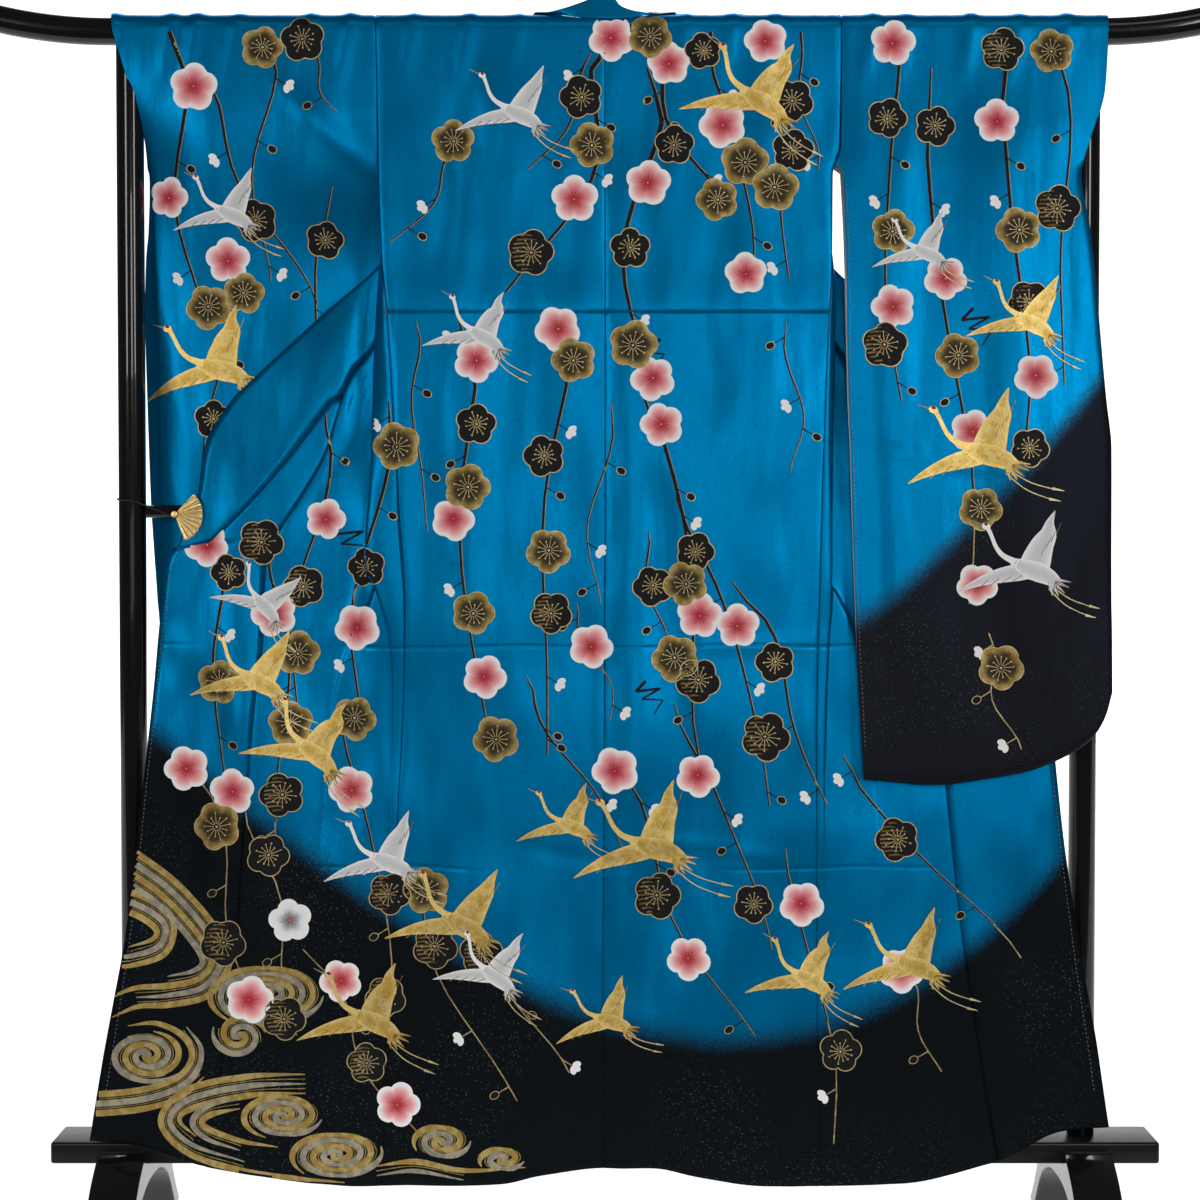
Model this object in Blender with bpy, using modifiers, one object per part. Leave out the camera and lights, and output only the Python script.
# A furisode (long-sleeved kimono) hung back to the viewer over a lacquered kimono stand.
# Both fronts are opened out sideways; a small fan clip holds the left one to its post.
# The viewer is at -Y, +X is the viewer's right, and Z = 0 is the floor.
import bpy
import bmesh
import math
from collections import namedtuple
from mathutils import Vector

MM = 0.001                 # the sizes below are in millimetres

# Driving dimensions of the stand
FOOT_X = 670.0             # each foot's distance from the middle
POST_AT = {-1: -661.0, 1: 670.0}  # the left post stands a little farther in
POST_RADIUS = 19.0
RAIL_Z = 1695.0            # height of the top rail's axis
RAIL_RADIUS = 19.5
RAIL_REACH = 862.0         # half the top rail's length
RAIL_STRAIGHT = 690.0      # where its ends begin to turn up
RAIL_RISE = 22.0           # how far the tips turn up
MIDDLE_Z = 1028.0
MIDDLE_RADIUS = 9.0
BOARD_REACH = 772.0        # half the base board's length
BOARD_DEPTH = 96.0
BOARD_BOTTOM = 120.0
BOARD_TOP = 150.0
FOOT_WIDTH = 66.0
FOOT_REACH = 215.0         # how far a foot reaches to front and back
FIT = 0.3                  # gap between pieces that touch

# Driving dimensions of the cloth
WALL = 2.0                 # silk, padding edge and lining together
WRAP = 21.4                # radius of the cloth's middle where it lies on the rail
SEAM = 0.5                 # gap between the middles of two panels at a seam
TURNED_SEAM = 1.2          # more, where the front turns away sharply at its side seam
LEG_GAP = 9.0              # between a front's folded layers
HEM_Z = 92.0               # the lowest row of the body panels
HEM_START = 700.0          # below this height the rows bend to the hem's line
SLEEVE_BOTTOM = 651.0
SLEEVE_BEND = 900.0        # below this height the rows bend to the sleeve's bottom
ARC_STEPS = 4              # rows over a quarter turn on the rail


class Smooth:
    """A curve through a table's points that never overshoots them."""

    def __init__(self, pairs):
        pairs = sorted(pairs)
        self.at = [p[0] for p in pairs]
        self.to = [p[1] for p in pairs]
        steps = [(b - a, d - c) for a, b, c, d in
                 zip(self.at, self.at[1:], self.to, self.to[1:])]
        slopes = [rise / run for run, rise in steps]
        self.lean = [slopes[0]]
        for before, after in zip(slopes, slopes[1:]):
            same_way = before * after > 0
            self.lean.append(2 * before * after / (before + after) if same_way else 0.0)
        self.lean.append(slopes[-1])

    def __call__(self, x):
        x = min(max(x, self.at[0]), self.at[-1])
        i = 0
        while i < len(self.at) - 2 and x > self.at[i + 1]:
            i += 1
        run = self.at[i + 1] - self.at[i]
        t = (x - self.at[i]) / run
        ease = t * t * (3 - 2 * t)
        start = self.lean[i] * run * t * (1 - t) ** 2
        end = self.lean[i + 1] * run * t * t * (t - 1)
        return self.to[i] * (1 - ease) + self.to[i + 1] * ease + start + end


def column(rows, name, by="z"):
    return Smooth([(getattr(row, by), getattr(row, name)) for row in rows])


def step(x, low, high):
    t = min(max((x - low) / (high - low), 0.0), 1.0)
    return t * t * (3 - 2 * t)


def round_cap(t):
    """0 at a fold's turn, 1 once the layers lie flat."""
    t = min(max(t, 0.0), 1.0)
    return math.sqrt(1 - (1 - t) ** 2)


# Body panels, a row for each height: the side edges' and centre seam's places across,
# the back's depth, and the depth of the fronts' outer layer.
Body = namedtuple("Body", "z left centre right back front")
BODY = [
    Body(1717, -318, 0, 327, -21.4, 30.4),
    Body(1695, -317, 0, 327, -21.4, 30.4),
    Body(1534, -314, 0, 326, -24.0, 29.5),
    Body(1495, -313, 0, 315, -25.0, 29.0),
    Body(1384, -309, 0, 314, -27.5, 28.0),
    Body(1312, -302, 0, 311, -33.0, 20.0),
    Body(1296, -301, 0, 310, -29.5, 18.0),
    Body(1184, -295, 0, 306, -31.0, 4.0),
    Body(1072, -287, 0, 302, -32.0, -9.0),
    Body(1028, -285, 0, 301, -32.5, -14.0),
    Body(904, -277, -1, 298, -35.0, -20.0),
    Body(764, -280, -1, 295, -37.0, -27.0),
    Body(624, -287, -2, 294, -40.0, -34.0),
    Body(344, -298, -3, 295, -48.0, -46.0),
    Body(92, -311, -3, 301, -57.0, -57.0),
]

# Each front, a row for each height, as distances outward from the middle: how far it
# bulges past the side seam, the fold behind the back, and its two seams and free edge.
Front = namedtuple("Front", "z bulge fold seam collar edge")
FRONT_LEFT = [
    Front(1717, -26, 58, 71, 71, 97),
    Front(1604, -22, 91, 118, 118, 163),
    Front(1492, -16, 125, 178, 178, 235),
    Front(1384, 2, 157, 232, 232, 308),
    Front(1307, 15, 178, 285, 285, 392),
    Front(1212, 26, 200, 357, 358, 494),
    Front(1184, 28, 207, 369, 379, 522),
    Front(1114, 34, 222, 389, 432, 560),
    Front(1044, 41, 238, 427, 492, 569),
    Front(985, 50, 252, 464, 553, 597),
    Front(946, 52, 284, 475, 611, 611),
    Front(922, 40, 320, 476, 613, 613),
    Front(904, 34, 326, 476, 616, 616),
    Front(850, 20, 354, 477, 623, 623),
    Front(756, 14, 380, 488, 631, 631),
    Front(624, 12, 390, 499, 645, 645),
    Front(410, 12, 400, 512, 668, 668),
    Front(231, 12, 410, 535, 697, 697),
    Front(92, 12, 420, 556, 715, 715),
]
FRONT_RIGHT = [
    Front(1717, -26, 58, 71, 71, 97),
    Front(1604, -22, 91, 118, 118, 163),
    Front(1492, -16, 125, 178, 178, 235),
    Front(1384, 2, 160, 232, 232, 308),
    Front(1307, 8, 184, 285, 285, 388),
    Front(1212, 12, 210, 350, 351, 480),
    Front(1184, 12, 218, 361, 371, 508),
    Front(1114, 13, 234, 378, 424, 548),
    Front(1044, 14, 250, 410, 482, 560),
    Front(985, 15, 262, 440, 541, 586),
    Front(946, 16, 282, 452, 599, 599),
    Front(922, 16, 316, 454, 601, 601),
    Front(904, 16, 328, 455, 604, 604),
    Front(850, 14, 350, 458, 611, 611),
    Front(756, 12, 366, 468, 620, 620),
    Front(624, 10, 376, 478, 632, 632),
    Front(410, 10, 390, 500, 658, 658),
    Front(231, 10, 400, 524, 684, 684),
    Front(92, 10, 410, 545, 700, 700),
]

# The hem's height, a row for each place across.
Hem = namedtuple("Hem", "x z")
HEM = [
    Hem(-711, 155), Hem(-651, 148), Hem(-560, 120), Hem(-483, 106), Hem(-385, 95),
    Hem(-308, 91), Hem(-147, 95), Hem(-91, 106), Hem(-7, 116), Hem(63, 116),
    Hem(133, 103), Hem(217, 92), Hem(301, 91), Hem(413, 95), Hem(532, 123),
    Hem(637, 167), Hem(700, 173),
]

# Rows of the body panels from the rail to the sewn waist tuck, and from there to the
# hem, and the ends of the collar and overlaps.
TUCK_Z = 1304.0
UPPER_ROWS = [1650, 1590, 1534, 1492, 1440, 1384, 1345, 1312, TUCK_Z + SEAM / 2]
LOWER_ROWS = [TUCK_Z - SEAM / 2, 1296, 1240, 1184, 1114, 1044, 985, 946, 922, 904, 850,
              756, 624, 500, 380, 260, 170, HEM_Z]
COLLAR_END = 985
OVERLAP_TOP = 1184

# Sleeves, a row for each height, outward from the middle: the inner and outer edges and
# the depths of the layer towards the viewer and of the layer behind, at each edge.
Sleeve = namedtuple("Sleeve", "z inner outer far_outer near_in near_out far_in far_out")
SLEEVE_LEFT = [
    Sleeve(1717, 318.5, 685, 685, -21.4, -21.4, 21.4, 21.4),
    Sleeve(1695, 317.5, 681, 681, -21.4, -21.4, 21.4, 21.4),
    Sleeve(1652, 316.7, 669, 669, -22.0, -23.0, 21.4, 21.8),
    Sleeve(1534, 314.5, 640, 640, -24.0, -24.0, 20.5, 22.0),
    Sleeve(1499, 315.0, 639, 639, -12.0, -18.0, 26.0, -6.0),
    Sleeve(1422, 313.0, 638, 638, 24.0, 2.0, 42.0, 14.0),
    Sleeve(1384, 311.5, 637, 637, 38.0, 8.0, 52.0, 20.0),
    Sleeve(1290, 308.0, 634, 634, 32.0, 13.0, 45.0, 25.0),
    Sleeve(1184, 303.0, 631, 631, 19.0, 15.0, 32.0, 27.0),
    Sleeve(1028, 300.0, 626, 626, 17.0, 17.0, 29.0, 29.0),
    Sleeve(850, 298.0, 622, 622, 15.0, 15.0, 27.0, 27.0),
    Sleeve(651, 296.0, 620, 620, 14.0, 14.0, 25.0, 25.0),
]
SLEEVE_RIGHT = [
    Sleeve(1717, 327.5, 697, 697, -21.4, -21.4, 21.4, 21.4),
    Sleeve(1695, 327.5, 696, 690, -21.4, -21.4, 21.4, 21.4),
    Sleeve(1652, 327.2, 694, 660, -22.0, -23.0, 21.2, 19.5),
    Sleeve(1610, 326.9, 691, 636, -22.8, -24.0, 21.0, 8.0),
    Sleeve(1534, 326.5, 668, 643, -24.0, -29.0, 20.5, -14.0),
    Sleeve(1499, 328.5, 659, 659, -26.0, -33.0, 18.0, -22.0),
    Sleeve(1408, 332.5, 672, 672, -30.0, -34.0, 4.0, -23.0),
    Sleeve(1184, 337.0, 693, 693, -36.0, -38.0, -18.0, -27.0),
    Sleeve(1114, 340.0, 700, 700, -39.0, -41.0, -24.0, -29.0),
    Sleeve(1028, 342.0, 700, 700, -42.0, -44.0, -30.0, -33.0),
    Sleeve(850, 348.0, 700, 700, -49.0, -51.0, -39.0, -41.0),
    Sleeve(651, 358.0, 700, 700, -60.0, -60.0, -50.0, -50.0),
]
WRIST_END = 1499.0         # the wrist opening is sewn shut from here down
SLEEVE_ROWS = [1652, 1610, 1534, WRIST_END, 1455, 1408, 1350, 1290, 1235, 1184, 1114,
               1028, 960, 900, 850, 790, 730, 690, 668, 657, SLEEVE_BOTTOM]
SLEEVE_COLUMNS = [0.0, 0.1, 0.21, 0.33, 0.45, 0.57, 0.69, 0.8, 0.9, 0.955, 0.985, 1.0]

# The sleeve's bottom edge: how far it rises, by distance in from the outer edge.
Bottom = namedtuple("Bottom", "x rise")
BOTTOM = [Bottom(0, 127), Bottom(10, 92), Bottom(28, 64), Bottom(63, 40),
          Bottom(119, 18), Bottom(175, 8), Bottom(245, 0), Bottom(345, 8)]

# The collar round the neck, from the left front to the right: where its seam runs, as a
# place across and an angle up the rail's front, and its free edge.
Neck = namedtuple("Neck", "x angle lift edge_x edge_y edge_z")
NECK = [
    Neck(-63, 72, 3.0, -80, -7, 1729),
    Neck(-46, 53, 1.6, -52, -12, 1737),
    Neck(-24, 42, 1.4, -26, -14, 1741),
    Neck(0, 38, 1.4, 0, -15, 1741),
    Neck(24, 42, 1.4, 26, -14, 1737),
    Neck(46, 53, 1.6, 53, -12, 1730),
    Neck(63, 72, 3.0, 80, -7, 1725),
]
NECK_DROP = Smooth([(0, 52), (24, 48), (46, 37), (63, 18), (76, 0), (330, 0)])

body = {name: column(BODY, name) for name in Body._fields[1:]}
hem_height = column(HEM, "z", by="x")
bottom_rise = column(BOTTOM, "rise", by="x")
fronts = {
    -1: {name: column(FRONT_LEFT, name) for name in Front._fields[1:]},
    1: {name: column(FRONT_RIGHT, name) for name in Front._fields[1:]},
}
sleeves = {
    -1: {name: column(SLEEVE_LEFT, name) for name in Sleeve._fields[1:]},
    1: {name: column(SLEEVE_RIGHT, name) for name in Sleeve._fields[1:]},
}


def drape(x, z):
    """Soft lengthwise folds shared by every body panel, deeper towards the hem."""
    loose = 0.35 + 0.65 * step(1500 - z, 0, 1300)
    ridge = -5.0 * math.exp(-((x - 30) / 26) ** 2) * step(1700 - z, 0, 300)
    waves = 2.6 * math.sin(x / 47 + 0.8) + 1.6 * math.sin(x / 29 - 1.9)
    return (ridge + waves * loose) * step(1690 - z, 0, 160)


def sleeve_drape(side, x, z):
    """Folds that run down the sleeve from the shoulder."""
    loose = step(1690 - z, 0, 220) * (1 - 0.5 * step(900 - z, 0, 240))
    slant = x + side * 0.12 * (z - 1200)
    return loose * (2.4 * math.sin(slant / 38 + side) + 1.5 * math.sin(slant / 23 - 0.7))


def hem_bend(x, z):
    """Moves the lower rows of the body to the hem's own line."""
    down = min(max((HEM_START - z) / (HEM_START - HEM_Z), 0.0), 1.0)
    return z + (hem_height(x) - HEM_Z) * down ** 1.5


def on_rail(x, depth, turn, towards):
    """A point wrapped over the rail; turn is the angle up from the horizontal."""
    angle = math.radians(turn)
    return Vector((x, towards * depth * math.cos(angle), RAIL_Z + depth * math.sin(angle)))


def body_levels(rows):
    """The rows of a body panel: turns over the rail, then heights."""
    turns = [("turn", 1 - i / ARC_STEPS) for i in range(ARC_STEPS + 1)]
    return turns + [("height", z) for z in rows]


def back_point(x, level):
    kind, value = level
    if kind == "turn":
        top = 90 - math.degrees(SEAM / 2 / WRAP) - NECK_DROP(abs(x))
        return on_rail(x, WRAP, top * value, -1)
    return Vector((x, body["back"](value) + drape(x, value), hem_bend(x, value)))


def fold_turn(level):
    """How much of the fronts' second layer has opened: less on top of the rail."""
    kind, value = level
    return 0.5 + 0.5 * (1 - value) if kind == "turn" else 1.0


def level_height(level):
    kind, value = level
    return RAIL_Z + 22 * value if kind == "turn" else value


def body_edge(side, z):
    return abs(body["left" if side < 0 else "right"](z))


def front_marks(side, z):
    """The row's turning points: side edge, bulge, fold, seam, collar seam, free edge."""
    table = fronts[side]
    edge = body_edge(side, z) + SEAM * (1 - step(z, 1440, 1495))
    edge += TURNED_SEAM * step(z, 1240, 1300) * (1 - step(z, 1440, 1495))
    return [edge, edge + table["bulge"](z), table["fold"](z), table["seam"](z),
            table["collar"](z), table["edge"](z)]


def front_depths(side, level):
    """Depths of the side edge, of the layer behind the back and of the outer layer."""
    z = level_height(level)
    outer = body["front"](z)
    gap = min(LEG_GAP, (outer - body["back"](z)) / 2)
    inner = outer - gap * fold_turn(level)
    if level[0] == "turn":
        inner, outer = WRAP, WRAP + LEG_GAP * fold_turn(level)
    start = body["back"](z) + (inner - body["back"](z)) * step(z, 1325, 1440)
    return start, inner, outer


def place_front(side, out, depth, level):
    kind, value = level
    x = side * out
    if kind == "turn":
        top = 90 - math.degrees(SEAM / 2 / WRAP)
        return on_rail(x, depth, top * value, 1)
    return Vector((x, depth + drape(x, value), hem_bend(x, value)))


BULGE_STEPS = [0.0, 0.55, 0.88, 1.0]
BEHIND_STEPS = [0.0, 0.12, 0.5, 0.88, 1.0]
OUTER_STEPS = [0.0, 0.1, 0.4, 0.7, 1.0]


def front_row(side, level):
    """The front panel's points along one row, from the side seam to its own seam."""
    z = level_height(level)
    edge, bulge, fold, seam, _, _ = front_marks(side, z)
    start, inner, outer = front_depths(side, level)
    turn_1 = (start + inner) / 2
    turn_2 = (inner + outer) / 2
    row = []
    for t in BULGE_STEPS:
        row.append((edge + (bulge - edge) * t, start + (turn_1 - start) * (1 - round_cap(1 - t))))
    for t in BEHIND_STEPS[1:]:
        near = round_cap(t / BEHIND_STEPS[2])
        far = round_cap((1 - t) / BEHIND_STEPS[2])
        depth = turn_1 + (inner - turn_1) * near if t < 0.5 else turn_2 + (inner - turn_2) * far
        row.append((bulge + (fold - bulge) * t, depth))
    for t in OUTER_STEPS[1:]:
        reach = seam - SEAM / 2 - fold
        row.append((fold + reach * t, turn_2 + (outer - turn_2) * round_cap(t / OUTER_STEPS[2])))
    return [place_front(side, out, depth, level) for out, depth in row]


def outer_layer(side, out, level):
    """A point on a front's opened-out layer, past its seam."""
    _, _, outer = front_depths(side, level)
    return place_front(side, out, outer, level)


def between(a, b, steps):
    return [a + (b - a) * i / steps for i in range(steps + 1)]


def overlap_row(side, level, steps=3):
    z = level_height(level)
    _, _, _, seam, collar, edge = front_marks(side, z)
    far = collar - SEAM / 2 if z >= COLLAR_END else edge
    return [outer_layer(side, out, level) for out in between(seam + SEAM / 2, far, steps)]


def collar_row(side, level, steps=3):
    z = level_height(level)
    _, _, _, seam, collar, edge = front_marks(side, z)
    start = (collar if z <= OVERLAP_TOP else seam) + SEAM / 2
    row = [outer_layer(side, out, level) for out in between(start, edge, steps)]
    if z == COLLAR_END:
        for i, point in enumerate(row):
            point.z -= 16 * i / steps
    return row


def neck_row(station, steps=3):
    turn = station.angle + math.degrees(2 * SEAM / WRAP)
    seam = on_rail(station.x, WRAP + station.lift, turn, -1)
    edge = Vector((station.edge_x, station.edge_y, station.edge_z))
    return [seam.lerp(edge, i / steps) for i in range(steps + 1)]


def sleeve_row(side, near, level):
    """One layer of a sleeve along one row, from its inner edge to its outer one."""
    kind, value = level
    z = level_height(level)
    table = sleeves[side]
    inner = table["inner"](z)
    if z > WRIST_END:
        inner = body_edge(side, z) + SEAM
    closed = kind == "height" and value <= WRIST_END
    joined = closed or (kind == "turn" and value == 1)
    outer = table["outer" if near or joined else "far_outer"](z)
    row = []
    for t in SLEEVE_COLUMNS:
        out = inner + (outer - inner) * t
        x = side * out
        if kind == "turn":
            row.append(on_rail(x, WRAP, 90 * value, -1 if near else 1))
            continue
        depths = [table[name + "_in"](z) * (1 - t) + table[name + "_out"](z) * t
                  for name in ("near", "far")]
        own = depths[0] if near else depths[1]
        middle = sum(depths) / 2
        floor = SLEEVE_BOTTOM + bottom_rise(outer - out)
        bend = min(max((SLEEVE_BEND - z) / (SLEEVE_BEND - SLEEVE_BOTTOM), 0.0), 1.0)
        height = z + (floor - SLEEVE_BOTTOM) * bend
        open_by = round_cap((z - SLEEVE_BOTTOM) / 17)
        if closed:
            open_by *= round_cap((1 - t) / (1 - SLEEVE_COLUMNS[-3]))
        depth = middle + (own - middle) * open_by
        row.append(Vector((x, depth + sleeve_drape(side, x, z), height)))
    return row


def collection(name):
    made = bpy.data.collections.new(name)
    bpy.context.scene.collection.children.link(made)
    return made


def material(name, colour, roughness, metallic=0.0):
    made = bpy.data.materials.new(name)
    made.use_nodes = True
    shader = made.node_tree.nodes["Principled BSDF"]
    shader.inputs["Base Color"].default_value = (*colour, 1.0)
    shader.inputs["Roughness"].default_value = roughness
    shader.inputs["Metallic"].default_value = metallic
    return made


def add_object(name, data, look, where):
    made = bpy.data.objects.new(name, data)
    made.data.materials.append(look)
    where.objects.link(made)
    return made


def adopt(name, look, where):
    """Names the shape just added and puts it in its collection."""
    made = bpy.context.object
    made.name = name
    if look:
        made.data.materials.append(look)
    for old_place in list(made.users_collection):
        old_place.objects.unlink(made)
    where.objects.link(made)
    return made


def sheet_into(mesh, rows):
    """Adds a grid of cloth whose points are the given rows."""
    columns = len(rows[0]) - 1
    grid = bmesh.ops.create_grid(mesh, x_segments=columns, y_segments=len(rows) - 1, size=1)
    for vert in grid["verts"]:
        i = round((vert.co.x + 1) / 2 * columns)
        j = round((vert.co.y + 1) / 2 * (len(rows) - 1))
        vert.co = rows[j][i] * MM


def cloth(name, sheets, look, where):
    """A cloth wall on one or more grids, welded where their edges meet."""
    mesh = bmesh.new()
    for rows in sheets:
        sheet_into(mesh, rows)
    bmesh.ops.remove_doubles(mesh, verts=mesh.verts, dist=0.00002)
    bmesh.ops.recalc_face_normals(mesh, faces=mesh.faces)
    data = bpy.data.meshes.new(name)
    mesh.to_mesh(data)
    mesh.free()
    data.shade_smooth()
    made = add_object(name, data, look, where)
    wall = made.modifiers.new("wall", "SOLIDIFY")
    wall.thickness = WALL * MM
    wall.offset = 0
    wall.use_quality_normals = True
    return made


def tube(name, points, radius, look, where, resolution=4):
    """A round bar or cord along its points."""
    curve = bpy.data.curves.new(name, "CURVE")
    curve.dimensions = "3D"
    curve.bevel_depth = radius * MM
    curve.bevel_resolution = resolution
    curve.use_fill_caps = True
    spline = curve.splines.new("POLY")
    spline.points.add(len(points) - 1)
    for target, point in zip(spline.points, points):
        target.co = (*(Vector(point) * MM), 1)
    return add_object(name, curve, look, where)


def outline(name, points, thickness, look, where):
    """A flat outline in Y and Z, drawn out along X by its thickness."""
    curve = bpy.data.curves.new(name, "CURVE")
    curve.dimensions = "2D"
    curve.fill_mode = "BOTH"
    curve.extrude = thickness / 2 * MM
    spline = curve.splines.new("POLY")
    spline.points.add(len(points) - 1)
    for target, (y, z) in zip(spline.points, points):
        target.co = (y * MM, z * MM, 0, 1)
    spline.use_cyclic_u = True
    made = add_object(name, curve, look, where)
    made.rotation_euler = (math.radians(90), 0, math.radians(90))
    return made


for old in list(bpy.data.objects):
    bpy.data.objects.remove(old)
parts = collection("furisode_on_stand")
cutters = collection("cutters")

silk = material("blue silk", (0.0, 0.155, 0.38), 0.4)
dark_silk = material("collar silk", (0.0, 0.14, 0.34), 0.42)
lacquer = material("black lacquer", (0.012, 0.011, 0.012), 0.12)
brass = material("gold fan", (0.8, 0.58, 0.25), 0.3, 1.0)
elastic = material("black elastic", (0.01, 0.01, 0.01), 0.7)

# Back panels, shoulder to waist tuck and tuck to hem, meeting at the centre seam; their
# columns are places across, closer round the neck
BACK_COLUMNS = [24, 42, 58, 74, 110, 155, 205, 258]
upper_levels = body_levels(UPPER_ROWS)
lower_levels = [("height", z) for z in LOWER_ROWS]
halves = (("_upper", upper_levels), ("_lower", lower_levels))
for name, side in (("back_left", -1), ("back_right", 1)):
    for half, levels in halves:
        rows = []
        for level in levels:
            z = level_height(level)
            places = [SEAM / 2] + BACK_COLUMNS + [body_edge(side, z)]
            centre = body["centre"](z)
            rows.append([back_point(centre * (1 - out / places[-1]) + side * out, level)
                         for out in places])
        cloth(name + half, [rows], silk, parts)

# Fronts, each folded back on itself behind the back and opened out past the side seam
for name, side in (("front_left", -1), ("front_right", 1)):
    for half, levels in halves:
        cloth(name + half, [[front_row(side, level) for level in levels]], silk, parts)

# Overlap panels along the fronts' edges
overlap_levels = [level for level in lower_levels if level[1] <= OVERLAP_TOP]
for name, side in (("okumi_left", -1), ("okumi_right", 1)):
    cloth(name, [[overlap_row(side, level) for level in overlap_levels]], silk, parts)

# Collar, one band from the left front's clip round the neck to the right front
collar_levels = upper_levels[:-1]
collar_levels += [level for level in lower_levels[1:] if level[1] >= COLLAR_END]
band = [collar_row(-1, level) for level in reversed(collar_levels)]
band += [neck_row(station) for station in NECK]
band += [collar_row(1, level) for level in collar_levels]
cloth("collar", [band], dark_silk, parts)

# Sleeves, one cloth folded over the rail and sewn along the bottom and outer edge
sleeve_levels = body_levels(SLEEVE_ROWS)
for name, side in (("sleeve_left", -1), ("sleeve_right", 1)):
    layers = [[sleeve_row(side, near, level) for level in sleeve_levels]
              for near in (True, False)]
    cloth(name, layers, silk, parts)

# Top rail, round, with a tip let into each end that turns up
TIP_STEPS = 5
TIP_COLLAR = 8.0           # straight length at a tip's inner end
tube("top_rail", [(-RAIL_STRAIGHT, 0, RAIL_Z), (RAIL_STRAIGHT, 0, RAIL_Z)], RAIL_RADIUS,
     lacquer, parts, resolution=10)
for name, side in (("rail_tip_left", -1), ("rail_tip_right", 1)):
    reach = RAIL_REACH - RAIL_STRAIGHT - TIP_COLLAR
    tip = [(side * (RAIL_STRAIGHT + FIT), 0, RAIL_Z)]
    tip += [(side * (RAIL_STRAIGHT + TIP_COLLAR + reach * i / TIP_STEPS), 0,
             RAIL_Z + RAIL_RISE * (i / TIP_STEPS) ** 2) for i in range(TIP_STEPS + 1)]
    tube(name, tip, RAIL_RADIUS, lacquer, parts, resolution=10)

# Posts, round, standing on the board and saddled under the rail
POST_TOP = RAIL_Z - 4
for name, side in (("post_left", -1), ("post_right", 1)):
    bpy.ops.mesh.primitive_cylinder_add(
        vertices=24, radius=POST_RADIUS * MM, depth=(POST_TOP - BOARD_TOP - FIT) * MM,
        location=(POST_AT[side] * MM, 0, (POST_TOP + BOARD_TOP + FIT) / 2 * MM))
    post = adopt(name, lacquer, parts)
    bpy.ops.mesh.primitive_cylinder_add(
        vertices=48, radius=(RAIL_RADIUS + FIT) * MM, depth=4 * POST_RADIUS * MM,
        location=(POST_AT[side] * MM, 0, RAIL_Z * MM), rotation=(0, math.radians(90), 0))
    saddle = adopt(name + "_saddle", None, cutters)
    saddle.hide_render = True
    saddle.display_type = "WIRE"
    cut = post.modifiers.new("saddle", "BOOLEAN")
    cut.operation = "DIFFERENCE"
    cut.object = saddle

# Middle rail, between the posts
middle_ends = [POST_AT[side] - side * (POST_RADIUS + FIT) for side in (-1, 1)]
tube("middle_rail", [(x, 0, MIDDLE_Z) for x in middle_ends],
     MIDDLE_RADIUS, lacquer, parts, resolution=6)

# Base board, flat, with chamfered edges
bpy.ops.mesh.primitive_cube_add(size=1, location=(0, 0, (BOARD_BOTTOM + BOARD_TOP) / 2 * MM))
board = adopt("base_board", lacquer, parts)
for vert in board.data.vertices:
    vert.co.x *= 2 * BOARD_REACH * MM
    vert.co.y *= BOARD_DEPTH * MM
    vert.co.z *= (BOARD_TOP - BOARD_BOTTOM) * MM
chamfer = board.modifiers.new("chamfer", "BEVEL")
chamfer.width = 4 * MM
chamfer.segments = 2

# Feet, arched from front to back, with shoulders that stand up beside the board
FOOT_TOP = [(BOARD_DEPTH / 2 + FIT, BOARD_BOTTOM - FIT), (BOARD_DEPTH / 2 + FIT, 137),
            (BOARD_DEPTH / 2 + 12, 137), (85, 126), (122, 102), (155, 68), (184, 32),
            (FOOT_REACH, 0)]
FOOT_UNDER = [(FOOT_REACH - 38, 0), (158, 22), (132, 50), (100, 73), (60, 87), (20, 92)]
half = FOOT_TOP + FOOT_UNDER
foot_outline = half + [(-y, z) for y, z in reversed(half)]
for name, side in (("foot_left", -1), ("foot_right", 1)):
    foot = outline(name, foot_outline, FOOT_WIDTH, lacquer, parts)
    foot.location = (side * FOOT_X * MM, 0, 0)

# Fan clip: a pleated gold fan on a round hub, gripping the left front's collar edge
FAN_X, FAN_Z, FAN_RADIUS = -599.0, 1024.0, 40.0
FAN_PLEATS = 9
FAN_START, FAN_END = -68.0, 46.0
fan_y = outer_layer(-1, abs(FAN_X) - 14, ("height", FAN_Z)).y - WALL / 2 - 4.4
fan_rows = []
for ring in (5.0, FAN_RADIUS):
    row = []
    for i in range(2 * FAN_PLEATS + 1):
        angle = math.radians(FAN_START + (FAN_END - FAN_START) * i / (2 * FAN_PLEATS))
        pleat = 1.6 * ring / FAN_RADIUS * (1 if i % 2 else -1)
        row.append(Vector((FAN_X + ring * math.cos(angle), fan_y + pleat,
                           FAN_Z + ring * math.sin(angle))))
    fan_rows.append(row)
cloth("fan_clip", [fan_rows], brass, parts)

bpy.ops.mesh.primitive_cylinder_add(vertices=20, radius=4.6 * MM, depth=6 * MM,
                                    location=(FAN_X * MM, fan_y * MM, FAN_Z * MM),
                                    rotation=(math.radians(90), 0, 0))
adopt("fan_hub", brass, parts)

# Elastic loop from the clip's hub round the post
CORD_RADIUS = 1.2
LOOP_RADIUS = POST_RADIUS + FIT + CORD_RADIUS
LOOP_Z = MIDDLE_Z + 15
LOOP_STEPS = 14
cord_y = fan_y
cord = [Vector((FAN_X - 6.3, cord_y, FAN_Z - 1.8))]
for i in range(LOOP_STEPS + 1):
    angle = math.radians(-78 - 204 * i / LOOP_STEPS)
    cord.append(Vector((POST_AT[-1] + LOOP_RADIUS * math.cos(angle), LOOP_RADIUS * math.sin(angle),
                        LOOP_Z + 4.5 * i / LOOP_STEPS)))
tube("clip_cord", cord, CORD_RADIUS, elastic, parts, resolution=2)
